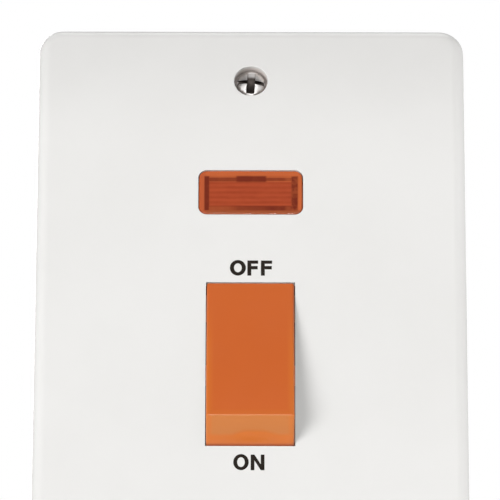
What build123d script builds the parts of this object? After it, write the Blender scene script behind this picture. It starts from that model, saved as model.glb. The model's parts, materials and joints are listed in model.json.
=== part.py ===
import os
from math import acos, cos, pi, radians, sin

from build123d import *

# Double pole switch on a tall double plate. Millimetres, +X right, +Y into the wall, +Z up.
# The origin is on the wall plane, midway between the two fixing screws.

# Front plate
plate_width = 86.0
plate_height = 145.0
plate_thickness = 9.5
plate_corner_radius = 5.0
plate_edge_radius = 2.4
plate_wall = 2.8
plate_side_wall = 2.6
rib_thickness = 1.2
rib_height = 3.6
rib_x = 27.0
rib_inner_z = 52.5
rib_outer_z = 67.5

# Fixing screws
fixing_pitch = 120.6
fixing_hole_radius = 2.2
fixing_well_radius = 3.35
fixing_well_depth = 2.2
fixing_lip_radius = 0.2
fixing_seat_radius = 2.85
fixing_sleeve_radius = 5.4
fixing_thread_radius = 1.75
fixing_neck_radius = 1.6
fixing_head_radius = 2.75
fixing_head_land = 1.0
fixing_dome_height = 0.85
fixing_length = 25.0
fixing_slot_width = 0.8
fixing_slot_depth = 1.3
fixing_slot_turn = 4.0
fixing_cross_width = 1.65
fixing_cross_reach = 3.2
fixing_cross_tip = 0.9
fixing_cross_depth = 1.9

# Rocker
rocker_width = 17.4
rocker_end_radius = 18.62
rocker_half_swing = 11.5
rocker_pivot_depth = 5.4
rocker_centre_z = -3.3
rocker_wall = 1.8
rocker_face_wall = 2.2
rocker_skirt_angle = 94.0
rocker_gap = 0.18
rocker_long_edge_radius = 0.5
rocker_crease_radius = 0.4
trunnion_radius = 2.0
trunnion_length = 2.8
trunnion_boss_wall = 1.4
running_clearance = 0.05

# Plungers and springs
pole_x = 4.6
plunger_radius = 2.1
plunger_reach = 11.5
plunger_back = 1.5
plunger_cup_depth = 4.5
plunger_cup_radius = 1.6
tube_radius = 2.9
tube_back = 7.5
spring_seat = -5.0
spring_mean_radius = 1.2
spring_wire_radius = 0.2
spring_turns = 6
spring_sides = 10

# See-saw contacts
seesaw_width = 6.0
seesaw_thickness = 1.5
seesaw_arm = 13.5
seesaw_dish = 9.0
plunger_gap = 0.2
blade_radius = 0.5
contact_reach = 11.3
contact_thickness = 1.2
contact_gap_closed = 0.08
moving_tip_radius = 2.2
fixed_tip_radius = 2.5
rest_stop_radius = 1.6
bar_thickness = 1.5
bar_width = 6.6
bar_margin = 0.6
blade_margin = 2.0

# Switch base
base_front = 1.5
base_half_width = 18.8
base_half_length = 28.0
base_spine_half_width = 9.9
base_floor = 2.8
base_flange = 3.0
base_wall = 2.2
base_edge_radius = 1.2
housing_inner = 13.2
chamber_inner_x = 1.1
chamber_outer_x = 8.3
fit_gap = 0.15
screw_gap = 0.2
join_overlap = 0.5
base_screw_x = 15.2
base_screw_z = 9.0
base_screw_radius = 1.4
base_screw_head_radius = 2.8
base_screw_head_height = 1.9
base_screw_tip = 1.6
post_radius = 3.2
post_floor = 1.2
cheek_inner_x = 9.1
cheek_outer_x = 11.7
cheek_half_length = 13.0
saddle_drop = 0.3

# Terminals
terminal_x = 10.4
terminal_z = 20.2
terminal_width = 12.0
terminal_length = 11.0
terminal_depth = 11.5
cable_radius = 3.3
mouth_radius = 3.9
clamp_screw_radius = 2.5
clamp_head_radius = 3.1
clamp_head_height = 2.2
clamp_tip_gap = 0.3
clamp_stand_off = 0.6
terminal_edge_radius = 1.0
driver_slot_width = 0.9
driver_slot_depth = 0.9
driver_hole_radius = 3.7

# Earth terminal
earth_z = -45.0
earth_width = 21.0
earth_length = 9.0
earth_front = -1.5
earth_depth = 9.6
earth_bore_x = 5.2
earth_cable_radius = 2.6
earth_screw_radius = 2.0
earth_head_radius = 2.9
earth_head_height = 2.0
earth_edge_radius = 0.8
earth_post_height = 6.0
earth_post_ledge = 3.0
earth_post_wall = 2.2

# Neon indicator
lens_width = 20.7
lens_height = 9.75
lens_centre_z = 34.9
lens_corner_radius = 1.6
lens_face = 0.9
lens_wall = 1.1
lens_flange = 0.9
lens_flange_depth = 1.0
lens_edge_radius = 0.3
lens_skirt_back = -3.6
lens_groove = 1.0
lens_pad_depth = 2.0
lens_rib_count = 5
lens_rib_depth = 0.4
holder_wall = 1.3
holder_back = 4.6
collar_wall = 1.4
collar_back = -1.4
lamp_radius = 2.6
lamp_wall = 0.5
lamp_half_length = 6.5
lamp_y = -0.6
electrode_radius = 0.35
electrode_spread = 0.8
electrode_tail = 1.5
electrode_setback = 3.5
seal_gap = 0.02
lamp_tip_length = 2.2
lamp_tip_radius = 0.9
lamp_foot = 2.0
lamp_cradle_x = 4.6
lamp_cradle_width = 1.2
resistor_radius = 1.15
resistor_waist_radius = 0.95
resistor_length = 6.0
resistor_cap = 1.4
lead_radius = 0.6
lead_x = 6.4
lead_drop = 3.6
lead_bend = 3.0
lead_tail = 1.0
lead_end_inset = 2.0

# Positions that follow from the sizes above
front_y = -plate_thickness
inner_y = front_y + plate_wall
pivot_y = front_y + rocker_pivot_depth
corner_angle = acos(rocker_pivot_depth / rocker_end_radius) - radians(rocker_half_swing)
face_offset = rocker_end_radius * cos(corner_angle)
skirt_back = -rocker_end_radius * cos(radians(rocker_skirt_angle))
fulcrum_y = pivot_y + plunger_reach + plunger_gap + seesaw_thickness
bar_front = fulcrum_y + contact_thickness + contact_gap_closed + contact_thickness
bar_back = bar_front + bar_thickness
terminal_back = bar_back + terminal_depth
cable_y = bar_back + terminal_depth / 2
base_back = terminal_back + fit_gap + base_wall
spine_back = bar_back + base_floor
pocket_end = terminal_z + terminal_length / 2 + fit_gap
pocket_start = terminal_z - terminal_length / 2 - fit_gap
sides = {"live": -1, "neutral": 1}
ends = {"load": 1, "supply": -1}

os.makedirs("parts", exist_ok=True)


def block(x0, x1, y0, y1, z0, z1):
    size = Box(abs(x1 - x0), abs(y1 - y0), abs(z1 - z0))
    return Pos((x0 + x1) / 2, (y0 + y1) / 2, (z0 + z1) / 2) * size


def rod_x(radius, x0, x1, y, z):
    return Pos((x0 + x1) / 2, y, z) * Rot(0, 90, 0) * Cylinder(radius, abs(x1 - x0))


def rod_y(radius, x, y0, y1, z):
    return Pos(x, (y0 + y1) / 2, z) * Rot(90, 0, 0) * Cylinder(radius, abs(y1 - y0))


def rod_z(radius, x, y, z0, z1):
    return Pos(x, y, (z0 + z1) / 2) * Cylinder(radius, abs(z1 - z0))


def cone_y(radius0, radius1, x, y0, y1, z):
    return Pos(x, (y0 + y1) / 2, z) * Rot(-90, 0, 0) * Cone(radius0, radius1, y1 - y0)


def turned_x(points, y, z):
    profile = make_face(Polyline(*points, close=True))
    return Pos(0, y, z) * revolve(profile, axis=Axis.X)


def rounded_block(width, height, corner, x, y0, y1, z):
    outline = Plane((x, y1, z), x_dir=(1, 0, 0), z_dir=(0, -1, 0)) * RectangleRounded(width, height, corner)
    return extrude(outline, amount=y1 - y0)


def edges_at(shape, axis, position, tolerance=0.01):
    found = []
    for edge in shape.edges():
        if all(abs(getattr(v, axis) - position) < tolerance for v in edge.vertices()):
            found.append(edge)
    return found


def at_rocker_rest(shape):
    return Pos(0, pivot_y, rocker_centre_z) * Rot(-rocker_half_swing, 0, 0) * shape


def save(shape, node):
    export_step(shape, f"parts/{node}.step")


def make_front_plate():
    outer = rounded_block(plate_width, plate_height, plate_corner_radius, 0, front_y, 0, 0)
    outer = fillet(edges_at(outer, "Y", front_y), plate_edge_radius)
    inner_width = plate_width - 2 * plate_side_wall
    inner_height = plate_height - 2 * plate_side_wall
    inner_corner = plate_corner_radius - plate_side_wall
    plate = outer - rounded_block(inner_width, inner_height, inner_corner, 0, inner_y, 1, 0)

    half_x = plate_width / 2 - 1
    half_z = plate_height / 2 - 1
    rib_back = inner_y + rib_height
    for z in (-rib_outer_z, -rib_inner_z, rib_inner_z, rib_outer_z):
        plate += block(-half_x, half_x, inner_y - 1, rib_back, z - rib_thickness / 2, z + rib_thickness / 2)
    for x in (-rib_x, rib_x):
        plate += block(x - rib_thickness / 2, x + rib_thickness / 2, inner_y - 1, rib_back, -half_z, half_z)
    plate &= outer

    for z in (-fixing_pitch / 2, fixing_pitch / 2):
        plate += rod_y(fixing_sleeve_radius, 0, inner_y - join_overlap, 0, z)
        seat_y = front_y + fixing_well_depth
        seat_back = seat_y + fixing_seat_radius - fixing_hole_radius
        plate -= rod_y(fixing_hole_radius, 0, front_y - 1, 1, z)
        plate -= rod_y(fixing_well_radius, 0, front_y - 1, seat_y, z)
        plate -= cone_y(fixing_seat_radius, fixing_hole_radius, 0, seat_y, seat_back, z)
    lips = [e for e in edges_at(plate, "Y", front_y) if e.geom_type == GeomType.CIRCLE]
    plate = fillet(lips, fixing_lip_radius)

    for x in (-base_screw_x, base_screw_x):
        for z in (rocker_centre_z - base_screw_z, rocker_centre_z + base_screw_z):
            plate += rod_y(post_radius, x, inner_y - join_overlap, base_front, z)
            hole = base_screw_radius + running_clearance
            plate -= rod_y(hole, x, inner_y + post_floor, base_front + 1, z)

    for side in (-1, 1):
        plate += block(
            side * cheek_inner_x,
            side * cheek_outer_x,
            inner_y - join_overlap,
            base_front,
            rocker_centre_z - cheek_half_length,
            rocker_centre_z + cheek_half_length,
        )
        slot = trunnion_radius + running_clearance
        near = side * (cheek_inner_x - join_overlap)
        far = side * (cheek_outer_x + 1)
        plate -= rod_x(slot, near, far, pivot_y, rocker_centre_z)
        plate -= block(
            near,
            far,
            pivot_y,
            base_front + 1,
            rocker_centre_z - slot,
            rocker_centre_z + slot,
        )
    aperture_half = rocker_width / 2 + rocker_gap
    plate -= rod_x(rocker_end_radius + rocker_gap, -aperture_half, aperture_half, pivot_y, rocker_centre_z)

    bay_width = lens_width + 2 * (lens_flange + holder_wall + fit_gap)
    bay_height = lens_height + 2 * (lens_flange + holder_wall + fit_gap)
    plate += rounded_block(
        bay_width + 2 * collar_wall,
        bay_height + 2 * collar_wall,
        lens_corner_radius + collar_wall,
        0,
        inner_y - join_overlap,
        collar_back,
        lens_centre_z,
    )
    plate -= rounded_block(bay_width, bay_height, lens_corner_radius, 0, inner_y, 1, lens_centre_z)
    plate -= rounded_block(
        lens_width + 2 * fit_gap,
        lens_height + 2 * fit_gap,
        lens_corner_radius + fit_gap,
        0,
        front_y - 1,
        inner_y + 1,
        lens_centre_z,
    )

    cradle = earth_width / 2 + fit_gap
    for side in (-1, 1):
        plate += block(
            side * (cradle - earth_post_ledge),
            side * (cradle + earth_post_wall),
            inner_y - join_overlap,
            earth_front + earth_post_height,
            earth_z - earth_length / 2,
            earth_z + earth_length / 2,
        )
    low = earth_z - earth_length
    high = earth_z + earth_length
    return plate - block(-cradle, cradle, earth_front, earth_front + earth_depth, low, high)


def make_fixing_screws():
    shapes = []
    head_back = front_y + fixing_well_depth + fixing_seat_radius - fixing_head_radius
    head_front = head_back - fixing_head_land
    cone_back = head_back + fixing_head_radius - fixing_neck_radius
    dome_radius = (fixing_head_radius**2 + fixing_dome_height**2) / (2 * fixing_dome_height)
    for z in (fixing_pitch / 2, -fixing_pitch / 2):
        dome = Pos(0, head_front - fixing_dome_height + dome_radius, z) * Sphere(dome_radius)
        dome &= rod_y(fixing_head_radius, 0, head_front - 2 * fixing_dome_height, head_front, z)
        screw = dome + rod_y(fixing_head_radius, 0, head_front, head_back, z)
        screw += cone_y(fixing_head_radius, fixing_neck_radius, 0, head_back, cone_back, z)
        screw += rod_y(fixing_neck_radius, 0, cone_back, 0, z)
        screw += rod_y(fixing_thread_radius, 0, 0, head_front + fixing_length, z)
        top = head_front - fixing_dome_height
        half = fixing_slot_width / 2
        reach = fixing_head_radius + 1
        arm = fixing_cross_width / 2
        floor = top + fixing_cross_depth
        recess = block(-arm, arm, top, floor, -reach, reach)
        recess &= cone_y(fixing_cross_reach, fixing_cross_tip, 0, top, floor, 0)
        recess += block(-reach, reach, top - 1, top + fixing_slot_depth, -half, half)
        screw -= Pos(0, 0, z) * Rot(0, fixing_slot_turn, 0) * recess
        shapes.append(screw)
    return Compound(children=shapes)


def make_rocker():
    half = rocker_width / 2
    drum = rod_x(rocker_end_radius, -half, half, 0, 0)
    body = drum & block(-half, half, -face_offset, skirt_back, -rocker_end_radius, rocker_end_radius)
    creases = [e for e in edges_at(body, "Y", -face_offset) if e.bounding_box().size.X > 1]
    body = fillet(creases, rocker_crease_radius)
    side_edges = [e for e in body.edges() if e.bounding_box().size.X < 0.01]
    front_rim = [e for e in side_edges if e.bounding_box().min.Y < skirt_back - 0.5]
    body = fillet(front_rim, rocker_long_edge_radius)
    hollow = rod_x(rocker_end_radius - rocker_wall, -half + rocker_wall, half - rocker_wall, 0, 0)
    hollow_front = -face_offset + rocker_face_wall
    hollow &= block(-half, half, hollow_front, skirt_back + 1, -rocker_end_radius, rocker_end_radius)
    rocker = body - hollow
    for side in (-1, 1):
        boss_radius = trunnion_radius + trunnion_boss_wall
        tube_front = -face_offset + rocker_face_wall - join_overlap
        rocker += rod_x(boss_radius, side * (half - rocker_wall), side * half, 0, 0)
        rocker += rod_x(trunnion_radius, side * (half - 1), side * (half + trunnion_length), 0, 0)
        rocker += rod_y(tube_radius, side * pole_x, tube_front, tube_back, 0)
    for side in (-1, 1):
        rocker -= rod_y(plunger_radius + running_clearance, side * pole_x, spring_seat, tube_back + 1, 0)
    return at_rocker_rest(rocker)


def make_plunger(side):
    ball_y = plunger_reach - plunger_radius
    plunger = rod_y(plunger_radius, 0, plunger_back, ball_y, 0)
    plunger += Pos(0, ball_y, 0) * Sphere(plunger_radius)
    plunger -= rod_y(plunger_cup_radius, 0, plunger_back - 1, plunger_back + plunger_cup_depth, 0)
    return at_rocker_rest(Pos(side * pole_x, 0, 0) * plunger)


def make_spring(side):
    length = plunger_back + plunger_cup_depth - spring_seat - 2 * spring_wire_radius
    count = spring_turns * spring_sides
    corners = []
    for i in range(count + 1):
        angle = 2 * pi * i / spring_sides
        across = spring_mean_radius * cos(angle)
        up = spring_mean_radius * sin(angle)
        corners.append((across, up, length * i / count))
    path = Polyline(*corners)
    profile = Plane(path @ 0, z_dir=path % 0) * Rectangle(2 * spring_wire_radius, 2 * spring_wire_radius)
    coil = Rot(-90, 0, 0) * sweep(profile, path=path, transition=Transition.RIGHT)
    return at_rocker_rest(Pos(side * pole_x, spring_seat + spring_wire_radius, 0) * coil)


def at_seesaw_rest(shape, side):
    return Pos(side * pole_x, fulcrum_y, rocker_centre_z) * Rot(seesaw_dish, 0, 0) * shape


def wing(shape, end):
    return Rot(end * seesaw_dish, 0, 0) * shape


def make_seesaw(side):
    half = seesaw_width / 2
    strip = None
    for end in (-1, 1):
        arm = wing(block(-half, half, -seesaw_thickness, 0, 0, end * seesaw_arm), end)
        strip = arm if strip is None else strip + arm
    strip -= rod_x(blade_radius + running_clearance, -half - 1, half + 1, 0, 0)
    return at_seesaw_rest(strip, side)


def make_moving_tip(side):
    tip = rod_y(moving_tip_radius, 0, 0, contact_thickness, contact_reach)
    return at_seesaw_rest(wing(tip, 1), side)


def make_fixed_tip(side):
    z = rocker_centre_z + contact_reach
    return rod_y(fixed_tip_radius, side * pole_x, bar_front - contact_thickness, bar_front, z)


def make_flag(side, end):
    near = terminal_z - terminal_length / 2
    far = pocket_end - fit_gap
    outer_x = terminal_x + terminal_width / 2 - fit_gap
    return block(
        side * (pole_x - bar_width / 2),
        side * outer_x,
        bar_front,
        bar_back,
        rocker_centre_z + end * near,
        rocker_centre_z + end * far,
    )


def make_load_bar(side):
    half = bar_width / 2
    start = contact_reach - fixed_tip_radius - bar_margin
    bar = block(
        side * pole_x - half,
        side * pole_x + half,
        bar_front,
        bar_back,
        rocker_centre_z + start,
        rocker_centre_z + terminal_z,
    )
    return bar + make_flag(side, 1)


def make_supply_bar(side):
    half = bar_width / 2
    bar = block(
        side * pole_x - half,
        side * pole_x + half,
        bar_front,
        bar_back,
        rocker_centre_z - terminal_z,
        rocker_centre_z + blade_margin,
    )
    bar += make_flag(side, -1)
    x0 = side * pole_x - seesaw_width / 2
    x1 = side * pole_x + seesaw_width / 2
    foot = bar_front + join_overlap
    low = rocker_centre_z - blade_radius
    high = rocker_centre_z + blade_radius
    bar += block(x0, x1, fulcrum_y, foot, low, high)
    bar += rod_x(blade_radius, x0, x1, fulcrum_y, rocker_centre_z)
    stop_y = fulcrum_y + contact_gap_closed
    bar += rod_y(rest_stop_radius, side * pole_x, stop_y, foot, rocker_centre_z - contact_reach)
    return bar


def make_terminal(side, end):
    x = side * terminal_x
    z = rocker_centre_z + end * terminal_z
    half_x = terminal_width / 2
    half_z = terminal_length / 2
    body = block(x - half_x, x + half_x, bar_back, terminal_back, z - half_z, z + half_z)
    body = fillet(body.edges().filter_by(Axis.Z), terminal_edge_radius)
    body -= rod_z(cable_radius, x, cable_y, z - half_z - 1, z + half_z + 1)
    body -= rod_y(clamp_screw_radius + running_clearance, x, cable_y, terminal_back + 1, z)
    return body


def slotted_screw(radius, head_radius, head_height, tip_y, head_y, x, z):
    screw = rod_y(radius, x, tip_y, head_y, z)
    screw += rod_y(head_radius, x, head_y, head_y + head_height, z)
    half = driver_slot_width / 2
    reach = head_radius + 1
    top = head_y + head_height
    return screw - block(x - reach, x + reach, top - driver_slot_depth, top + 1, z - half, z + half)


def make_terminal_screws():
    shapes = []
    tip_y = cable_y + cable_radius + clamp_tip_gap
    for side in sides.values():
        for end in ends.values():
            z = rocker_centre_z + end * terminal_z
            shapes.append(
                slotted_screw(
                    clamp_screw_radius,
                    clamp_head_radius,
                    clamp_head_height,
                    tip_y,
                    terminal_back + clamp_stand_off,
                    side * terminal_x,
                    z,
                )
            )
    return Compound(children=shapes)


def make_switch_base():
    spine_half = base_spine_half_width
    low = rocker_centre_z - base_half_length
    high = rocker_centre_z + base_half_length
    base = block(-base_half_width, base_half_width, base_front, base_front + base_flange, low, high)
    base += block(-spine_half, spine_half, base_front, spine_back, low, high)
    for end in (-1, 1):
        base += block(
            -base_half_width,
            base_half_width,
            base_front,
            base_back,
            rocker_centre_z + end * housing_inner,
            rocker_centre_z + end * base_half_length,
        )
    upright = [e for e in base.edges().filter_by(Axis.Y) if e.length > base_back - base_front - 0.1]
    base = fillet(upright, base_edge_radius)
    base = fillet(edges_at(base, "Y", base_back), base_edge_radius)

    for side in (-1, 1):
        base -= block(
            side * chamber_inner_x,
            side * chamber_outer_x,
            base_front - 1,
            bar_back,
            rocker_centre_z - pocket_end,
            rocker_centre_z + pocket_end,
        )
        x = side * terminal_x
        half_x = terminal_width / 2 + fit_gap
        for end in (-1, 1):
            z = rocker_centre_z + end * terminal_z
            base -= block(
                x - half_x,
                x + half_x,
                base_front - 1,
                terminal_back + fit_gap,
                rocker_centre_z + end * pocket_start,
                rocker_centre_z + end * pocket_end,
            )
            base -= rod_z(
                mouth_radius,
                x,
                cable_y,
                rocker_centre_z + end * terminal_z,
                rocker_centre_z + end * (base_half_length + 1),
            )
            base -= rod_y(driver_hole_radius, x, terminal_back - 1, base_back + 1, z)
        for z in (rocker_centre_z - base_screw_z, rocker_centre_z + base_screw_z):
            base -= rod_y(base_screw_radius + screw_gap, side * base_screw_x, base_front - 1, base_back, z)
        lead_slot = lead_radius + fit_gap
        base -= block(
            side * lead_x - lead_slot,
            side * lead_x + lead_slot,
            base_front - 1,
            bar_front,
            rocker_centre_z + terminal_z,
            high + 1,
        )
        saddle = block(
            side * (cheek_inner_x + fit_gap),
            side * (cheek_outer_x - fit_gap),
            pivot_y + saddle_drop,
            base_front + 1,
            rocker_centre_z - trunnion_radius + running_clearance,
            rocker_centre_z + trunnion_radius - running_clearance,
        )
        near = side * cheek_inner_x
        far = side * cheek_outer_x
        base += saddle - rod_x(trunnion_radius + running_clearance, near, far, pivot_y, rocker_centre_z)
    return base


def make_base_screws():
    shapes = []
    back = base_front + base_flange
    for x in (-base_screw_x, base_screw_x):
        for z in (rocker_centre_z - base_screw_z, rocker_centre_z + base_screw_z):
            shapes.append(
                slotted_screw(
                    base_screw_radius,
                    base_screw_head_radius,
                    base_screw_head_height,
                    inner_y + base_screw_tip,
                    back,
                    x,
                    z,
                )
            )
    return Compound(children=shapes)


def make_earth_terminal():
    half_x = earth_width / 2
    half_z = earth_length / 2
    back = earth_front + earth_depth
    middle = earth_front + earth_depth / 2
    body = block(-half_x, half_x, earth_front, back, earth_z - half_z, earth_z + half_z)
    body = fillet(edges_at(body, "Y", back), earth_edge_radius)
    for x in (-earth_bore_x, earth_bore_x):
        body -= rod_z(earth_cable_radius, x, middle, earth_z - half_z - 1, earth_z + half_z + 1)
        body -= rod_y(earth_screw_radius + running_clearance, x, middle, back + 1, earth_z)
    return body


def make_earth_screws():
    tip_y = earth_front + earth_depth / 2 + earth_cable_radius + clamp_tip_gap
    head_y = earth_front + earth_depth + clamp_stand_off
    shapes = []
    for x in (-earth_bore_x, earth_bore_x):
        shapes.append(
            slotted_screw(
                earth_screw_radius,
                earth_head_radius,
                earth_head_height,
                tip_y,
                head_y,
                x,
                earth_z,
            )
        )
    return Compound(children=shapes)


def make_lens():
    back = lens_skirt_back
    lens = rounded_block(lens_width, lens_height, lens_corner_radius, 0, front_y, back, lens_centre_z)
    lens = fillet(edges_at(lens, "Y", front_y), lens_edge_radius)
    lens += rounded_block(
        lens_width + 2 * lens_flange,
        lens_height + 2 * lens_flange,
        lens_corner_radius,
        0,
        inner_y,
        inner_y + lens_flange_depth,
        lens_centre_z,
    )
    inner_width = lens_width - 2 * lens_wall
    inner_height = lens_height - 2 * lens_wall
    inner_corner = lens_corner_radius - lens_wall
    face_back = front_y + lens_face
    lens -= rounded_block(inner_width, inner_height, inner_corner, 0, face_back, back + 1, lens_centre_z)
    pad_width = inner_width - 2 * lens_groove
    pad_height = inner_height - 2 * lens_groove
    pad_back = front_y + lens_pad_depth
    low = lens_centre_z - pad_height / 2
    outline = [(face_back - join_overlap, low)]
    pitch = pad_height / lens_rib_count
    for i in range(lens_rib_count):
        outline.append((pad_back, low + i * pitch))
        outline.append((pad_back + lens_rib_depth, low + (i + 0.5) * pitch))
    outline.append((pad_back, low + pad_height))
    outline.append((face_back - join_overlap, low + pad_height))
    pad_end = Plane((-pad_width / 2, 0, 0), x_dir=(0, 1, 0), z_dir=(1, 0, 0))
    pad = extrude(pad_end * make_face(Polyline(*outline, close=True)), amount=pad_width)
    return lens + pad


def make_holder():
    outer_width = lens_width + 2 * (lens_flange + holder_wall)
    outer_height = lens_height + 2 * (lens_flange + holder_wall)
    corner = lens_corner_radius
    front = inner_y + lens_flange_depth
    holder = rounded_block(outer_width, outer_height, corner, 0, front, holder_back, lens_centre_z)
    holder -= rounded_block(
        lens_width + 2 * fit_gap,
        lens_height + 2 * fit_gap,
        corner + fit_gap,
        0,
        front - 1,
        holder_back - holder_wall,
        lens_centre_z,
    )
    half_width = lamp_cradle_width / 2
    half_height = lamp_radius + collar_wall / 2
    for x in (-lamp_cradle_x, lamp_cradle_x):
        cradle = block(
            x - half_width,
            x + half_width,
            lamp_y,
            holder_back - holder_wall + join_overlap,
            lens_centre_z - half_height,
            lens_centre_z + half_height,
        )
        holder += cradle - rod_x(lamp_radius + running_clearance, x - 1, x + 1, lamp_y, lens_centre_z)
    for side in (-1, 1):
        hole = lead_radius + running_clearance
        holder -= rod_y(hole, side * lead_x, 0, holder_back + 1, lens_centre_z - lead_drop)
    return holder


def make_lamp_glass():
    half = lamp_half_length
    shoulder = half - lamp_tip_length
    inner = lamp_radius - lamp_wall
    foot = -half + lamp_foot
    outside = [
        (-half, 0),
        (-half, lamp_radius),
        (shoulder, lamp_radius),
        (half, lamp_tip_radius),
        (half, 0),
    ]
    inside = [(foot, 0), (foot, inner), (shoulder, inner), (half - lamp_tip_radius, 0)]
    glass = turned_x(outside, lamp_y, lens_centre_z) - turned_x(inside, lamp_y, lens_centre_z)
    for spread in (-electrode_spread, electrode_spread):
        hole = electrode_radius + seal_gap
        glass -= rod_x(hole, -half - 1, foot + 1, lamp_y, lens_centre_z + spread)
    return glass


def make_electrodes():
    shapes = []
    tail = -lamp_half_length - electrode_tail
    tip = lamp_half_length - electrode_setback
    for spread in (-electrode_spread, electrode_spread):
        shapes.append(rod_x(electrode_radius, tail, tip, lamp_y, lens_centre_z + spread))
    return Compound(children=shapes)


def make_resistor():
    y = holder_back - holder_wall - resistor_radius
    half = resistor_length / 2
    slope = resistor_radius - resistor_waist_radius
    right = [
        (half - resistor_cap - slope, resistor_waist_radius),
        (half - resistor_cap, resistor_radius),
        (half - slope, resistor_radius),
        (half, resistor_waist_radius),
        (half, 0),
    ]
    left = [(-x, radius) for x, radius in reversed(right)]
    return turned_x(left + right, y, lens_centre_z - lead_drop)


def make_lead(side):
    z = lens_centre_z - lead_drop
    y = bar_front - lead_radius - seal_gap
    start = (side * lead_x, holder_back - holder_wall - lead_tail, z)
    turn = (side * lead_x, y, z)
    finish = (side * lead_x, y, rocker_centre_z + terminal_z - lead_end_inset)
    path = FilletPolyline(start, turn, finish, radius=lead_bend)
    return sweep(Plane(path @ 0, z_dir=path % 0) * Circle(lead_radius), path=path)


save(make_front_plate(), "front_plate")
save(make_fixing_screws(), "fixing_screws")
save(make_rocker(), "rocker")
save(make_switch_base(), "switch_base")
save(make_base_screws(), "base_screws")
save(make_terminal_screws(), "terminal_screws")
save(make_earth_terminal(), "earth_terminal")
save(make_earth_screws(), "earth_screws")
save(make_lens(), "neon_lens")
save(make_holder(), "neon_holder")
save(make_lamp_glass(), "neon_glass")
save(make_electrodes(), "neon_electrodes")
save(make_resistor(), "neon_resistor")
for pole, side in sides.items():
    save(make_plunger(side), f"{pole}_plunger")
    save(make_spring(side), f"{pole}_spring")
    save(make_seesaw(side), f"{pole}_moving_contact")
    save(make_moving_tip(side), f"{pole}_moving_tip")
    save(make_fixed_tip(side), f"{pole}_fixed_tip")
    save(make_load_bar(side), f"{pole}_load_bar")
    save(make_supply_bar(side), f"{pole}_supply_bar")
    save(make_lead(side), f"neon_lead_{pole}")
    for end_name, end in ends.items():
        save(make_terminal(side, end), f"{pole}_{end_name}_terminal")
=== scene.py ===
import json
from math import pi, radians

import bmesh
import bpy
from mathutils import Matrix, Vector


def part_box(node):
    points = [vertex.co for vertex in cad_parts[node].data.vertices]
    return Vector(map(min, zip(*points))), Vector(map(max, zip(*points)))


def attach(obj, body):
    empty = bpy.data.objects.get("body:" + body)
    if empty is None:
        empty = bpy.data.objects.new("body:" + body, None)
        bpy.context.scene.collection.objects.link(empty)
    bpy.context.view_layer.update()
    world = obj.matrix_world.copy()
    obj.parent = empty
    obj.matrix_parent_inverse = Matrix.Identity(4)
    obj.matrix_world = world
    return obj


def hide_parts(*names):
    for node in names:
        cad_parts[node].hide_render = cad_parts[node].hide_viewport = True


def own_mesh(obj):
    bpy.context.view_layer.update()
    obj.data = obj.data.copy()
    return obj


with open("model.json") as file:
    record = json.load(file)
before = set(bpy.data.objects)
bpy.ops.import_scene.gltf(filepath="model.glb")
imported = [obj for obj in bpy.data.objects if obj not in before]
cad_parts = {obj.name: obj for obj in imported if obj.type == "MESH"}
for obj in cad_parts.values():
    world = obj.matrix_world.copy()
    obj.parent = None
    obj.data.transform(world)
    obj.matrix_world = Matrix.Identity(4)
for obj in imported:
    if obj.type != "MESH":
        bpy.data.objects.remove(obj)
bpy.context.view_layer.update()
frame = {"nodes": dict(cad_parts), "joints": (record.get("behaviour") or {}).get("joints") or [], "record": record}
nodes = frame["nodes"]
joints = {joint["name"]: joint for joint in frame["joints"]}
scene = bpy.context.scene

# Sizes in metres
MM = 0.001
PLATE_FRONT = -9.5 * MM
WALL_PLANE = 0.0
SCREW_HEIGHT = 120.6 * MM / 2
TUBE_OFFSET = 4.6 * MM
SPRING_SEAT = -5.0 * MM
CUP_BOTTOM = 6.0 * MM

# Sizes of the printed letters in millimetres
ROUND_OVERSHOOT = 0.1


class Value:
    """An output socket that takes part in sums written as Python expressions."""

    def __init__(self, finish, socket):
        self.finish = finish
        self.socket = socket

    def maths(self, operation, *terms):
        return self.finish.node("ShaderNodeMath", {"operation": operation}, dict(enumerate(terms)))

    def __add__(self, other):
        return self.maths("ADD", self, other)

    def __radd__(self, other):
        return self.maths("ADD", other, self)

    def __sub__(self, other):
        return self.maths("SUBTRACT", self, other)

    def __rsub__(self, other):
        return self.maths("SUBTRACT", other, self)

    def __mul__(self, other):
        return self.maths("MULTIPLY", self, other)

    def __rmul__(self, other):
        return self.maths("MULTIPLY", other, self)

    def __truediv__(self, other):
        return self.maths("DIVIDE", self, other)

    def __pow__(self, other):
        return self.maths("POWER", self, other)

    def __abs__(self):
        return self.maths("ABSOLUTE", self)

    def most(self, other):
        """The larger of two values."""
        return self.maths("MAXIMUM", self, other)


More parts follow.
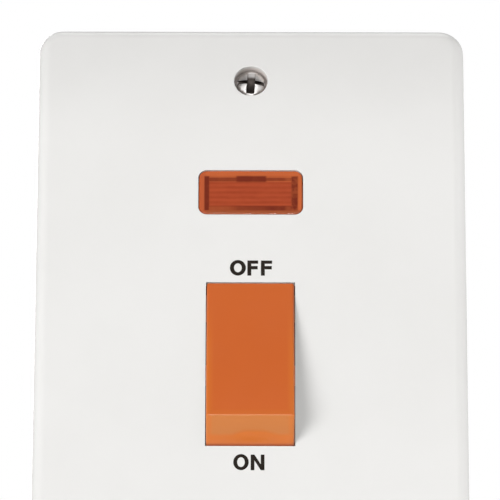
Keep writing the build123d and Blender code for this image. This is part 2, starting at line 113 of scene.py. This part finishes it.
class Finish:
    """The nodes of one material or of the world, made one at a time."""

    def __init__(self, tree):
        self.tree = tree
        tree.nodes.clear()

    def node(self, kind, settings=None, sockets=None, output=0):
        made = self.tree.nodes.new(kind)
        for name, value in (settings or {}).items():
            setattr(made, name, value)
        for name, value in (sockets or {}).items():
            if isinstance(value, Value):
                self.tree.links.new(value.socket, made.inputs[name])
            else:
                made.inputs[name].default_value = value
        return Value(self, made.outputs[output]) if made.outputs else None

    def place(self):
        return self.node("ShaderNodeTexCoord", output="Object")

    def axes(self, place):
        """The three coordinates of a place or a direction."""
        split = self.node("ShaderNodeSeparateXYZ", sockets={0: place}).socket.node
        return [Value(self, socket) for socket in split.outputs]

    def stretched(self, place, scale):
        return self.node("ShaderNodeMapping", sockets={"Vector": place, "Scale": scale})

    def noise(self, place, scale, detail=2.0, roughness=0.5):
        sockets = {"Vector": place, "Scale": scale, "Detail": detail, "Roughness": roughness}
        return self.node("ShaderNodeTexNoise", sockets=sockets)

    def span(self, value, low, high, to_low=0.0, to_high=1.0):
        sockets = {"Value": value, "From Min": low, "From Max": high, "To Min": to_low, "To Max": to_high}
        return self.node("ShaderNodeMapRange", {"interpolation_type": "SMOOTHSTEP"}, sockets)

    def tint(self, amount, first, second):
        return self.node("ShaderNodeMix", {"data_type": "RGBA"}, {0: amount, 6: first, 7: second}, output=2)

    def bump(self, height, distance):
        return self.node("ShaderNodeBump", sockets={"Distance": distance, "Height": height})

    def surface(self, **sockets):
        named = {name.replace("_", " "): value for name, value in sockets.items()}
        shader = self.node("ShaderNodeBsdfPrincipled", sockets=named)
        self.node("ShaderNodeOutputMaterial", sockets={"Surface": shader})


def new_finish(name):
    material = bpy.data.materials.new(name)
    material.use_nodes = True
    return material, Finish(material.node_tree)


def colour(red, green, blue):
    return (red, green, blue, 1.0)


def melt_flow(f, place):
    """Slow shading that the melt leaves in a moulding."""
    return f.noise(place, scale=38.0, detail=3.0, roughness=0.55)


def gloss_smear(f, place):
    """Patches where handling has dulled a gloss."""
    return f.span(f.noise(place, scale=90.0, detail=4.0, roughness=0.6), 0.42, 0.68)


def orange_peel(f, place, height):
    return f.bump(f.noise(place, scale=900.0), height)


def nylon_moulding(name, light, dark):
    """Natural nylon: a soft gloss that lets a little light in."""
    material, f = new_finish(name)
    place = f.place()
    f.surface(
        Base_Color=f.tint(f.span(melt_flow(f, place), 0.3, 0.7), light, dark),
        Roughness=0.42 + 0.06 * gloss_smear(f, place),
        Subsurface_Weight=0.2,
        Subsurface_Radius=(2.0 * MM, 1.4 * MM, 1.0 * MM),
        Normal=orange_peel(f, place, 0.02 * MM),
    )
    return material


def rocker_moulding(name, light, dark, edge_highlight, nose_sheen, lower_nose_sheen, reflection_band, painted_shade):
    """Orange gloss with painted light: painted highlights on its long edges and crease, a painted sheen and a
    darker painted reflection band on the nose, and a painted shade line where the nose meets the plate.
    """
    material, f = new_finish(name)
    place = f.place()
    across, depth, along = f.axes(place)
    stand = PLATE_FRONT - depth
    flow = melt_flow(f, place)
    nose = f.span(along, -17.35 * MM, -17.7 * MM)
    central = f.span(abs(across - 0.8 * MM), 5.0 * MM, 1.5 * MM)
    # A painted sheen on the upper nose, fading towards the foot; where it fades lies a painted dark reflection
    # band over the lower nose's yellower painted sheen.
    sheen_mask = f.span(stand - 0.9 * MM * central + 0.8 * MM * (flow - 0.5), 2.1 * MM, 3.2 * MM)
    lower = f.tint(1.6 * central * sheen_mask * (1.0 - sheen_mask), lower_nose_sheen, reflection_band)
    # A painted shade line along the foot of the nose, where it meets the plate.
    lower = f.tint(0.6 * f.span(stand, 0.75 * MM, 0.2 * MM), lower, painted_shade)
    sheen_mask = sheen_mask * (1.0 - 0.5 * f.span(abs(across), 7.2 * MM, 8.0 * MM))
    # Painted highlights along the rounded long edges and on the crease above the nose.
    edge_highlight_mask = f.span(abs(across), 7.0 * MM, 8.3 * MM) * f.span(stand, 0.5 * MM, 4.0 * MM)
    ridge = 0.6 * f.span(along, -15.9 * MM, -17.2 * MM)
    face = f.tint(f.span(flow, 0.3, 0.7), light, dark)
    face = f.tint(edge_highlight_mask.most(ridge), face, edge_highlight)
    f.surface(
        Base_Color=f.tint(nose, face, f.tint(sheen_mask, lower, nose_sheen)),
        Roughness=0.3 + 0.06 * gloss_smear(f, place),
        Specular_IOR_Level=0.6,
        Normal=orange_peel(f, place, 0.01 * MM),
    )
    return material


def plate_moulding(name, light, dark, well_wall_shade, painted_shade):
    """The white gloss of the plate, with painted shade darkening the two screw wells."""
    material, f = new_finish(name)
    place = f.place()
    across, depth, along = f.axes(place)
    up = abs(along) - SCREW_HEIGHT
    from_screw = (across * across + up * up) ** 0.5
    sunk = depth - PLATE_FRONT
    # Painted shade in the two screw wells, darkest towards their bottoms.
    well = f.span(from_screw, 3.8 * MM, 3.55 * MM) * f.span(sunk, 0.05 * MM, 1.3 * MM)
    well_shade_colour = f.tint(f.span(sunk, 1.4 * MM, 2.15 * MM), well_wall_shade, painted_shade)
    moulding = f.tint(f.span(melt_flow(f, place), 0.3, 0.7), light, dark)
    f.surface(
        Base_Color=f.tint(well, moulding, well_shade_colour),
        Roughness=0.2 + 0.06 * gloss_smear(f, place) + 0.3 * well,
        Normal=orange_peel(f, place, 0.012 * MM),
    )
    return material


def printed_ink(name):
    """Pad print: a dense dark ink that is a little thinner in places."""
    material, f = new_finish(name)
    place = f.place()
    thin = f.span(f.noise(place, scale=1900.0, detail=3.0, roughness=0.6), 0.55, 0.8)
    f.surface(
        Base_Color=f.tint(thin, colour(0.011, 0.007, 0.004), colour(0.022, 0.016, 0.011)),
        Roughness=0.45 + 0.16 * thin,
        Specular_IOR_Level=0.25,
        Normal=f.bump(f.noise(place, scale=2600.0), 0.008 * MM),
    )
    return material


def bright_nickel(name, dome_centre, dome_radius):
    """Nickel on turned steel; painted shade darkens the driver recess and the roots of the thread."""
    material, f = new_finish(name)
    place = f.place()
    across, depth, along = f.axes(place)
    up = along - SCREW_HEIGHT * along.maths("SIGN", along)
    from_axis = (across * across + up * up) ** 0.5
    reach = (across * across + (depth - dome_centre) ** 2.0 + up * up) ** 0.5
    inside = f.span(from_axis, 2.72 * MM, 2.66 * MM)
    under = inside * f.span(reach, dome_radius - 0.04 * MM, dome_radius - 0.16 * MM)
    root = f.span(from_axis, 1.68 * MM, 1.45 * MM) * f.span(depth, WALL_PLANE, WALL_PLANE + 0.1 * MM)
    slot = f.span(abs(up + 0.07 * across), 0.5 * MM, 0.4 * MM)
    low_arm = f.span(up, -0.3 * MM, -0.6 * MM)
    deep = f.span(reach, dome_radius - 0.6 * MM, dome_radius - 1.2 * MM)
    # Painted shade darkens and dulls the recess below the dome, most in the slot, the lower arm and its deep
    # middle, and the roots of the thread; the near-black colour below is that shade.
    recess = under * (0.45 + 0.55 * slot.most(low_arm.most(deep)))
    painted_shade = recess.most(0.8 * root)
    haze = f.noise(place, scale=420.0, detail=4.0, roughness=0.6)
    scuff = f.span(f.noise(place, scale=1500.0, detail=5.0, roughness=0.65), 0.6, 0.72)
    metal = f.tint(f.span(haze, 0.35, 0.7), colour(0.87, 0.84, 0.82), colour(0.8, 0.77, 0.75))
    f.surface(
        Base_Color=f.tint(painted_shade, metal, colour(0.1, 0.085, 0.078)),
        Metallic=1.0,
        Roughness=0.32 + 0.06 * haze + 0.06 * scuff + 0.15 * painted_shade,
        Normal=f.bump(f.noise(place, scale=900.0, detail=3.0), 0.004 * MM),
    )
    return material


def worked_metal(name, light, dark, roughness, grain_scale):
    """Rolled or turned metal: drawn grain, dull patches and handling marks."""
    material, f = new_finish(name)
    place = f.place()
    patches = f.span(f.noise(place, scale=160.0, detail=5.0, roughness=0.62), 0.4, 0.72)
    drawn = f.stretched(place, grain_scale)
    grain = f.noise(drawn, scale=1.0, detail=3.0, roughness=0.6)
    marks = f.span(f.noise(place, scale=900.0, detail=4.0, roughness=0.7), 0.6, 0.74)
    f.surface(
        Base_Color=f.tint(0.35 * patches + 0.3 * marks, light, dark),
        Metallic=1.0,
        Roughness=roughness + 0.14 * patches + 0.1 * grain,
        Normal=f.bump(grain + 0.4 * marks, 0.02 * MM),
    )
    return material


def filled_moulding(name, light, dark, roughness):
    """Hard filled plastic: fine speckle, satin skin and lighter scuffs."""
    material, f = new_finish(name)
    place = f.place()
    speckle = f.noise(place, scale=3200.0, detail=2.0, roughness=0.7)
    cloud = f.noise(place, scale=70.0, detail=4.0, roughness=0.6)
    skin = f.noise(place, scale=1400.0, detail=3.0, roughness=0.6)
    drawn = f.stretched(place, (900.0, 300.0, 300.0))
    scuff = f.span(f.noise(drawn, scale=1.0, detail=5.0, roughness=0.7), 0.6, 0.78)
    f.surface(
        Base_Color=f.tint(f.span(speckle, 0.4, 0.75) * 0.6 + 0.3 * cloud, dark, light),
        Roughness=roughness + 0.12 * cloud + 0.08 * scuff,
        Normal=f.bump(skin + 0.3 * speckle, 0.03 * MM),
    )
    return material


def amber_window(name, left, right, low, high):
    """Amber painted with light and shade: a painted bright rim, painted shade in a groove round the ribbed pad
    behind the face, and painted shading of the pad's ribs.

    The pad's borders and all other sizes here are in millimetres.
    """
    material, f = new_finish(name)
    place = f.place()
    across, _, height = f.axes(place)
    across = across / MM
    height = height / MM
    middle = (left + right) / 2
    off_side = abs(across - middle) - (right - left) / 2
    off_top = height - high
    off_foot = low - height
    off_pad = off_side.most(off_top.most(off_foot))
    cloud = f.noise(place, scale=420.0, detail=4.0, roughness=0.6)
    # Painted shade in the groove round the pad: along the sides, along the top with a darker line and a dark bar
    # in the middle, and along the foot.
    outward = off_side - 0.35 * f.span(across, -1.0, 1.0)
    side_groove = f.span(off_side, -0.25, 0.15) * f.span(outward, 1.15, 0.75)
    side_groove = side_groove * f.span(off_top, 1.5, 1.1) * f.span(off_foot, 1.0, 0.7)
    top_groove = f.span(off_top, -0.3, 0.25) * f.span(off_top, 1.6, 1.1) * f.span(off_side, 1.1, 0.8)
    leftward = f.span(across, 0.0, -2.5)
    line = f.span(off_top + 0.15 * leftward, 0.1, 0.35) * f.span(off_top - 0.05 * leftward, 1.05, 0.8)
    bar = f.span(abs(across - 0.1), 3.3, 2.7)
    top_groove = top_groove * (0.25 + 0.55 * line + (0.75 - 0.55 * line) * bar)
    foot_groove = f.span(off_foot, -0.4, 0.0) * f.span(off_foot, 1.05, 0.7) * f.span(off_side, 1.1, 0.8)
    # The painted shade below the pad grows darker from the left towards the middle and again at the right end.
    extra_foot_shade = 0.27 * f.span(across, -4.4, -1.8) + 0.15 * f.span(across, 2.2, 4.2)
    groove = side_groove.most(top_groove.most(foot_groove * (0.55 + extra_foot_shade)))
    # Lighter flecks break up the painted shade at the right end.
    flecks = f.noise(place, scale=700.0, detail=3.0, roughness=0.6)
    mottle = f.span(flecks, 0.36, 0.58) * f.span(across, 6.5, 7.5)
    groove = groove * (0.8 + 0.4 * cloud) * (1.0 - 0.3 * mottle)
    # A painted bright rim where light comes through the solid skirt, with painted shade over its foot and its left
    # end.
    rim = f.tint(cloud, colour(0.67, 0.155, 0.048), colour(0.59, 0.122, 0.034))
    rim = f.tint(0.85 * f.span(off_foot, 0.6, 1.0), rim, colour(0.36, 0.085, 0.028))
    rim = f.tint(0.6 * f.span(across, -8.6, -9.4), rim, colour(0.52, 0.1, 0.036))
    # Painted shading of the ribs on the pad, with uneven streaks and clouds.
    wave = 5.6 * (height + 0.22)
    ribs = wave.maths("SINE", wave)
    drawn = f.stretched(place, (260.0, 260.0, 1500.0))
    streak = f.noise(drawn, scale=1.0, detail=3.0, roughness=0.6)
    uneven = 0.32 * ribs + 1.3 * (streak - 0.5) + 0.7 * (cloud - 0.5)
    pad = f.tint(0.5 + uneven, colour(0.5, 0.082, 0.027), colour(0.385, 0.058, 0.02))
    shade = f.tint(f.span(off_pad, -0.2, 0.2), pad, rim)
    f.surface(
        # The near-black colour is the painted shade in the groove.
        Base_Color=f.tint(groove, shade, colour(0.2, 0.026, 0.01)),
        Roughness=0.16 + 0.08 * cloud,
        Specular_IOR_Level=0.3,
        Transmission_Weight=0.12,
        IOR=1.49,
        Normal=f.bump(f.noise(place, scale=1100.0), 0.004 * MM),
    )
    return material


def lamp_bulb(name):
    """Blown glass with a faint ripple."""
    material, f = new_finish(name)
    place = f.place()
    ripple = f.noise(place, scale=500.0)
    f.surface(
        Base_Color=f.tint(ripple, colour(0.96, 0.96, 0.95), colour(0.9, 0.91, 0.9)),
        Roughness=0.02 + 0.03 * ripple,
        Transmission_Weight=1.0,
        IOR=1.5,
        Normal=f.bump(ripple, 0.01 * MM),
    )
    return material


def banded_resistor(name):
    """Lacquered tan body with four plain colour bands across it."""
    material, f = new_finish(name)
    place = f.place()
    along = f.axes(place)[0]
    lacquer = f.noise(place, scale=900.0, detail=3.0)
    body = f.tint(lacquer, colour(0.52, 0.37, 0.22), colour(0.44, 0.3, 0.17))
    bands = (
        (-1.7, colour(0.25, 0.08, 0.03)),
        (-0.8, colour(0.02, 0.02, 0.02)),
        (0.1, colour(0.65, 0.5, 0.05)),
        (1.6, colour(0.55, 0.4, 0.12)),
    )
    for offset, shade in bands:
        band = f.span(abs(along - offset * MM), 0.28 * MM, 0.22 * MM)
        body = f.tint(band, body, shade)
    f.surface(
        Base_Color=body,
        Roughness=0.28 + 0.1 * f.noise(place, scale=1500.0),
        Normal=f.bump(f.noise(place, scale=1300.0), 0.02 * MM),
    )
    return material


finishes = {
    "plate": plate_moulding(
        "white_gloss",
        light=colour(0.842, 0.834, 0.818),
        dark=colour(0.822, 0.814, 0.797),
        # These two colours are painted shade in the screw wells: lighter on the walls, darkest at the bottom.
        well_wall_shade=colour(0.68, 0.63, 0.6),
        painted_shade=colour(0.42, 0.38, 0.36),
    ),
    "rocker": rocker_moulding(
        "orange_gloss",
        light=colour(0.65, 0.131, 0.02),
        dark=colour(0.63, 0.124, 0.017),
        # These five colours are painted light: highlights on the long edges and crease, the nose's sheen, the
        # lower nose's yellower sheen, a dark band in the nose's reflection, and a shade line at the nose's foot.
        edge_highlight=colour(0.675, 0.16, 0.02),
        nose_sheen=colour(0.573, 0.177, 0.031),
        lower_nose_sheen=colour(0.652, 0.154, 0.009),
        reflection_band=colour(0.5, 0.13, 0.003),
        painted_shade=colour(0.38, 0.07, 0.028),
    ),
    "lens": amber_window("amber_window", left=-8.35, right=8.15, low=31.66, high=37.23),
    "nickel": bright_nickel("bright_nickel", dome_centre=-4.176 * MM, dome_radius=4.874 * MM),
    "base": filled_moulding(
        "dark_moulding",
        light=colour(0.085, 0.085, 0.088),
        dark=colour(0.028, 0.028, 0.031),
        roughness=0.4,
    ),
    "steel": worked_metal(
        "zinc_plate",
        light=colour(0.66, 0.66, 0.65),
        dark=colour(0.42, 0.42, 0.43),
        roughness=0.26,
        grain_scale=(2200.0, 2200.0, 500.0),
    ),
    "brass": worked_metal(
        "turned_brass",
        light=colour(0.8, 0.58, 0.24),
        dark=colour(0.5, 0.32, 0.11),
        roughness=0.24,
        grain_scale=(3000.0, 600.0, 3000.0),
    ),
    "copper": worked_metal(
        "copper_strip",
        light=colour(0.78, 0.4, 0.24),
        dark=colour(0.42, 0.17, 0.09),
        roughness=0.28,
        grain_scale=(3200.0, 900.0, 260.0),
    ),
    "silver": worked_metal(
        "contact_silver",
        light=colour(0.9, 0.89, 0.86),
        dark=colour(0.6, 0.58, 0.53),
        roughness=0.2,
        grain_scale=(2600.0, 2600.0, 2600.0),
    ),
    "plunger": nylon_moulding(
        "natural_nylon",
        light=colour(0.78, 0.76, 0.68),
        dark=colour(0.72, 0.69, 0.6),
    ),
    "holder": filled_moulding(
        "white_holder",
        light=colour(0.84, 0.83, 0.81),
        dark=colour(0.74, 0.73, 0.71),
        roughness=0.45,
    ),
    "glass": lamp_bulb("lamp_glass"),
    "resistor": banded_resistor("banded_resistor"),
    "lead": filled_moulding(
        "lead_cover",
        light=colour(0.16, 0.16, 0.165),
        dark=colour(0.07, 0.07, 0.072),
        roughness=0.42,
    ),
}
ink = printed_ink("print_ink")

for subpart in frame["record"]["subparts"]:
    for holder in nodes[subpart["node"]].material_slots:
        holder.material = finishes[subpart["material_slot"]]


def finished(bm, name, material, smooth_angle=None):
    """The object made from a bmesh, shaded smooth up to an angle where one is given."""
    mesh = bpy.data.meshes.new(name)
    bm.to_mesh(mesh)
    bm.free()
    mesh.materials.append(material)
    if smooth_angle is not None:
        mesh.polygons.foreach_set("use_smooth", [True] * len(mesh.polygons))
        mesh.set_sharp_from_angle(angle=radians(smooth_angle))
    made = bpy.data.objects.new(name, mesh)
    scene.collection.objects.link(made)
    return made


def lay_outline(bm, points):
    """One flat letter facing the front, from its corners in millimetres."""
    corners = [bm.verts.new((x * MM, 0.0, z * MM)) for x, z in points]
    bm.faces.new(corners)


def letter_o(bm, left, right, low, high, stroke):
    middle = Vector(((left + right) / 2 * MM, 0.0, (low + high) / 2 * MM))
    side_stroke = stroke * 1.06
    end_stroke = stroke * 0.94
    upright = Matrix.Rotation(pi / 2, 4, "X")
    rings = []
    for inset_x, inset_z in ((0.0, 0.0), (side_stroke, end_stroke)):
        half_x = (right - left) / 2 - inset_x
        half_z = (high - low) / 2 - inset_z
        oval = Matrix.Translation(middle) @ Matrix.Diagonal((half_x * MM, 1.0, half_z * MM, 1.0)) @ upright
        ring = bmesh.ops.create_circle(bm, segments=56, radius=1.0, matrix=oval)
        rings += list({edge for vert in ring["verts"] for edge in vert.link_edges})
    bmesh.ops.bridge_loops(bm, edges=rings)


def letter_f(bm, left, right, low, high, stroke):
    top = high - ROUND_OVERSHOOT
    bar_low = top - stroke * 0.92
    middle = low + (top - low) * 0.53
    arm_low = middle - stroke * 0.5
    arm_high = middle + stroke * 0.45
    arm_end = right - 0.08
    stem = left + stroke
    lay_outline(
        bm,
        (
            (left, low),
            (stem, low),
            (stem, arm_low),
            (arm_end, arm_low),
            (arm_end, arm_high),
            (stem, arm_high),
            (stem, bar_low),
            (right, bar_low),
            (right, top),
            (left, top),
        ),
    )


def letter_n(bm, left, right, low, high, stroke):
    top = high - ROUND_OVERSHOOT
    corner = 1.25
    lay_outline(
        bm,
        (
            (left, low),
            (left + stroke, low),
            (left + stroke, top - corner),
            (right - stroke, low),
            (right, low),
            (right, top),
            (right - stroke, top),
            (right - stroke, low + corner),
            (left + stroke, top),
            (left, top),
        ),
    )


def print_word(name, stroke, low, high, letters):
    """Letters of ink, a few hundredths of a millimetre thick, on the front of the plate."""
    thickness = 0.03 * MM
    bm = bmesh.new()
    for draw, left, right in letters:
        draw(bm, left, right, low, high, stroke)
    faces = bmesh.ops.extrude_face_region(bm, geom=bm.faces[:])["geom"]
    raised = [item for item in faces if isinstance(item, bmesh.types.BMVert)]
    bmesh.ops.translate(bm, verts=raised, vec=(0.0, -thickness, 0.0))
    bmesh.ops.recalc_face_normals(bm, faces=bm.faces[:])
    bmesh.ops.translate(bm, verts=bm.verts[:], vec=(0.0, PLATE_FRONT, 0.0))
    word = finished(bm, name, ink)
    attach(word, "switch_body")


print_word(
    "off_print",
    stroke=0.77,
    low=16.2,
    high=19.66,
    letters=((letter_o, -4.12, -0.94), (letter_f, -0.63, 1.5), (letter_f, 2.06, 4.3)),
)
print_word(
    "on_print",
    stroke=0.72,
    low=-26.54,
    high=-23.07,
    letters=((letter_o, -3.3, -0.28), (letter_n, 0.12, 2.82)),
)


def cut_off(bm, plane_y, direction):
    """Cut away what lies past a plane across Y, and give back the edges of the cut."""
    cut = bmesh.ops.bisect_plane(
        bm,
        geom=bm.verts[:] + bm.edges[:] + bm.faces[:],
        dist=0.0001 * MM,
        plane_co=(0, plane_y, 0),
        plane_no=(0, direction, 0),
        clear_outer=True,
    )
    return [item for item in cut["geom_cut"] if isinstance(item, bmesh.types.BMEdge)]


def wind(bm, profile, pitch, turns, steps):
    """Wind a profile round the Y axis, and give back its last place."""
    wound = bmesh.ops.spin(
        bm,
        geom=profile,
        cent=(0, 0, 0),
        axis=(0, 1, 0),
        dvec=(0, pitch / steps, 0),
        angle=2 * pi * turns,
        steps=steps * turns,
    )
    return wound["geom_last"]


def front_copy(node, plane_y):
    """The part of a CAD piece in front of a plane, merged, with the cut closed."""
    bm = bmesh.new()
    bm.from_mesh(nodes[node].data)
    bmesh.ops.remove_doubles(bm, verts=bm.verts[:], dist=0.001 * MM)
    bmesh.ops.holes_fill(bm, edges=cut_off(bm, plane_y, 1.0))
    return bm


def add_thread(bm, crest, root, pitch, start, stop, z):
    """A screw thread along Y, cut square at both ends."""
    turns = int((stop - start) / pitch) + 3
    thread = bmesh.new()
    ridge = ((root, 0.0), (root, 0.1), (crest, 0.44), (crest, 0.56), (root, 0.9), (root, 1.0))
    points = [thread.verts.new((radius, start + (share - 1.5) * pitch, 0.0)) for radius, share in ridge]
    edges = [thread.edges.new(pair) for pair in zip(points, points[1:])]
    wind(thread, points + edges, pitch, turns, steps=28)
    bmesh.ops.remove_doubles(thread, verts=thread.verts[:], dist=0.002 * MM)
    for plane, direction in ((start, -1.0), (stop, 1.0)):
        bmesh.ops.edgeloop_fill(thread, edges=cut_off(thread, plane, direction))
    bmesh.ops.recalc_face_normals(thread, faces=thread.faces[:])
    bmesh.ops.translate(thread, verts=thread.verts[:], vec=(0, 0, z))
    spare = bpy.data.meshes.new("thread")
    thread.to_mesh(spare)
    thread.free()
    bm.from_mesh(spare)
    bpy.data.meshes.remove(spare)


screw_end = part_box("fixing_screws")[1].y
heads = front_copy("fixing_screws", WALL_PLANE)
for z in (SCREW_HEIGHT, -SCREW_HEIGHT):
    add_thread(heads, crest=1.75 * MM, root=1.4 * MM, pitch=0.6 * MM, start=WALL_PLANE, stop=screw_end, z=z)
screws = finished(heads, "threaded_fixing_screws", finishes["nickel"], smooth_angle=28)
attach(screws, "switch_body")
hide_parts("fixing_screws")


def make_spring(pole, x):
    """A round wire coil with closed ends, from its seat in the rocker to the plunger's cup."""
    tilt = joints["rocker_tilt"]
    lean = Matrix.Rotation(-radians(tilt["range_deg"][1] / 2), 4, "X")
    pivot = Vector(tilt["pos_m"]) + Vector((x, 0.0, 0.0))
    length = CUP_BOTTOM - SPRING_SEAT
    wire_radius = 0.19 * MM
    coil_radius = 1.2 * MM
    room = 0.02 * MM
    closed_pitch = 2.1 * wire_radius
    open_turns = 6
    open_pitch = (length - 2 * (wire_radius + room + closed_pitch)) / open_turns
    bm = bmesh.new()
    start = Matrix.Translation((coil_radius, SPRING_SEAT + room + wire_radius, 0.0))
    bmesh.ops.create_circle(bm, cap_ends=True, segments=12, radius=wire_radius, matrix=start)
    end = bm.verts[:] + bm.edges[:] + bm.faces[:]
    for pitch, turns in ((closed_pitch, 1), (open_pitch, open_turns), (closed_pitch, 1)):
        end = wind(bm, end, pitch, turns, steps=24)
    bmesh.ops.recalc_face_normals(bm, faces=bm.faces[:])
    bmesh.ops.transform(bm, matrix=Matrix.Translation(pivot) @ lean, verts=bm.verts[:])
    spring = finished(bm, f"{pole}_coil_spring", finishes["steel"], smooth_angle=50)
    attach(spring, "rocker")
    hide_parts(f"{pole}_spring")
    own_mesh(spring)


make_spring("live", -TUBE_OFFSET)
make_spring("neutral", TUBE_OFFSET)


def make_floor(drop, radius):
    """A pale floor under the camera, nearly white to the camera and white in the gloss."""
    bm = bmesh.new()
    below = Matrix.Translation((0, 0, -drop))
    bmesh.ops.create_circle(bm, cap_ends=True, segments=96, radius=radius, matrix=below)
    material, f = new_finish("pale_floor")
    grain = f.noise(f.place(), scale=3.0, detail=4.0)
    paint = f.tint(grain, colour(0.9, 0.9, 0.89), colour(0.88, 0.88, 0.87))
    plain = f.node("ShaderNodeBsdfPrincipled", sockets={"Base Color": paint, "Roughness": 0.7})
    seen = f.node("ShaderNodeLightPath", output="Is Camera Ray") * 0.75
    mirrored = f.node("ShaderNodeLightPath", output="Is Glossy Ray")
    glow = f.node("ShaderNodeEmission", sockets={"Strength": 1.0})
    mixed = f.node("ShaderNodeMixShader", sockets={0: seen + mirrored, 1: plain, 2: glow})
    f.node("ShaderNodeOutputMaterial", sockets={"Surface": mixed})
    floor = finished(bm, "floor", material)


def make_world(front, back, shine):
    """A white studio, dim in front of the plate and bright behind it, with white cards in the gloss."""
    world = bpy.data.worlds.new("studio")
    scene.world = world
    world.use_nodes = True
    f = Finish(world.node_tree)
    camera = f.node("ShaderNodeLightPath", output="Is Camera Ray")
    way = f.node("ShaderNodeTexCoord", output="Generated")
    across, depth, height = f.axes(way)
    glossy = f.node("ShaderNodeLightPath", output="Is Glossy Ray")
    cards = f.span(height, 0.3, 0.1) * f.span(across, 0.3, -0.5, 0.7, 1.5) + f.span(height, 0.8, 0.93)
    level = f.span(depth, -0.45, 0.25, front, back) + shine * cards * glossy
    strength = level + (1.0 - level) * camera
    sky = f.node("ShaderNodeBackground", sockets={"Color": colour(1.0, 1.0, 1.0), "Strength": strength})
    f.node("ShaderNodeOutputWorld", sockets={"Surface": sky})


def soft_lamp(name, direction, distance, size, watts, mirrored):
    """A round lamp aimed at the plate; one that is not mirrored leaves no glare on the gloss."""
    aim = (0.0, -0.01, 0.0)
    lamp = bpy.data.lights.new(name, "AREA")
    lamp.shape = "DISK"
    lamp.size = size
    lamp.energy = watts
    made = bpy.data.objects.new(name, lamp)
    made.location = Vector(aim) + Vector(direction).normalized() * distance
    made.rotation_euler = (-Vector(direction)).to_track_quat("-Z", "Y").to_euler()
    made.visible_camera = False
    made.visible_glossy = mirrored
    scene.collection.objects.link(made)


def fill_lamp(name, place, climb, spread, blend, watts):
    """A small lamp at the camera whose cone fades out just below the top of the plate."""
    lamp = bpy.data.lights.new(name, "SPOT")
    lamp.energy = watts
    lamp.spot_size = radians(spread)
    lamp.spot_blend = blend
    lamp.shadow_soft_size = 0.008
    made = bpy.data.objects.new(name, lamp)
    made.location = place
    made.rotation_euler = (radians(90.0 + climb), 0.0, 0.0)
    scene.collection.objects.link(made)


def make_camera(place, focal_length, climb, roll):
    lens = bpy.data.cameras.new("camera")
    lens.sensor_width = 36.0
    lens.lens = focal_length
    lens.clip_start = 0.01
    lens.clip_end = 20.0
    camera = bpy.data.objects.new("camera", lens)
    camera.location = place
    turn = Matrix.Rotation(radians(90.0 + climb), 3, "X") @ Matrix.Rotation(radians(roll), 3, "Z")
    camera.rotation_euler = turn.to_euler()
    scene.collection.objects.link(camera)
    scene.camera = camera


scene.view_settings.view_transform = "Standard"
viewpoint = (-0.00012, -1.1981, -0.5837)
make_floor(drop=2.4, radius=7.0)
make_world(front=0.15, back=0.4, shine=0.8)
soft_lamp("key_lamp", (-0.52, -0.735, -0.3), distance=3.8, size=2.4, watts=104.5, mirrored=False)
soft_lamp("front_lamp", (0.2, -1.0, 0.1), distance=1.2, size=0.8, watts=2.55, mirrored=True)
soft_lamp("top_lamp", (0.1, -0.15, 1.0), distance=1.0, size=0.5, watts=1.2, mirrored=True)
soft_lamp("side_lamp", (1.0, 0.13, -0.1), distance=1.2, size=0.3, watts=8.7, mirrored=False)
soft_lamp("back_lamp", (-0.45, 1.0, 0.65), distance=2.5, size=1.4, watts=24.0, mirrored=True)
fill_lamp("fill_lamp", viewpoint, climb=13.0, spread=31.64, blend=0.098, watts=8.2)
make_camera(viewpoint, focal_length=481.7, climb=27.0, roll=0.14)

# The photo shows no orange light from the rocker on the plate, so bounced light passes the rocker by.
nodes["rocker"].visible_diffuse = False
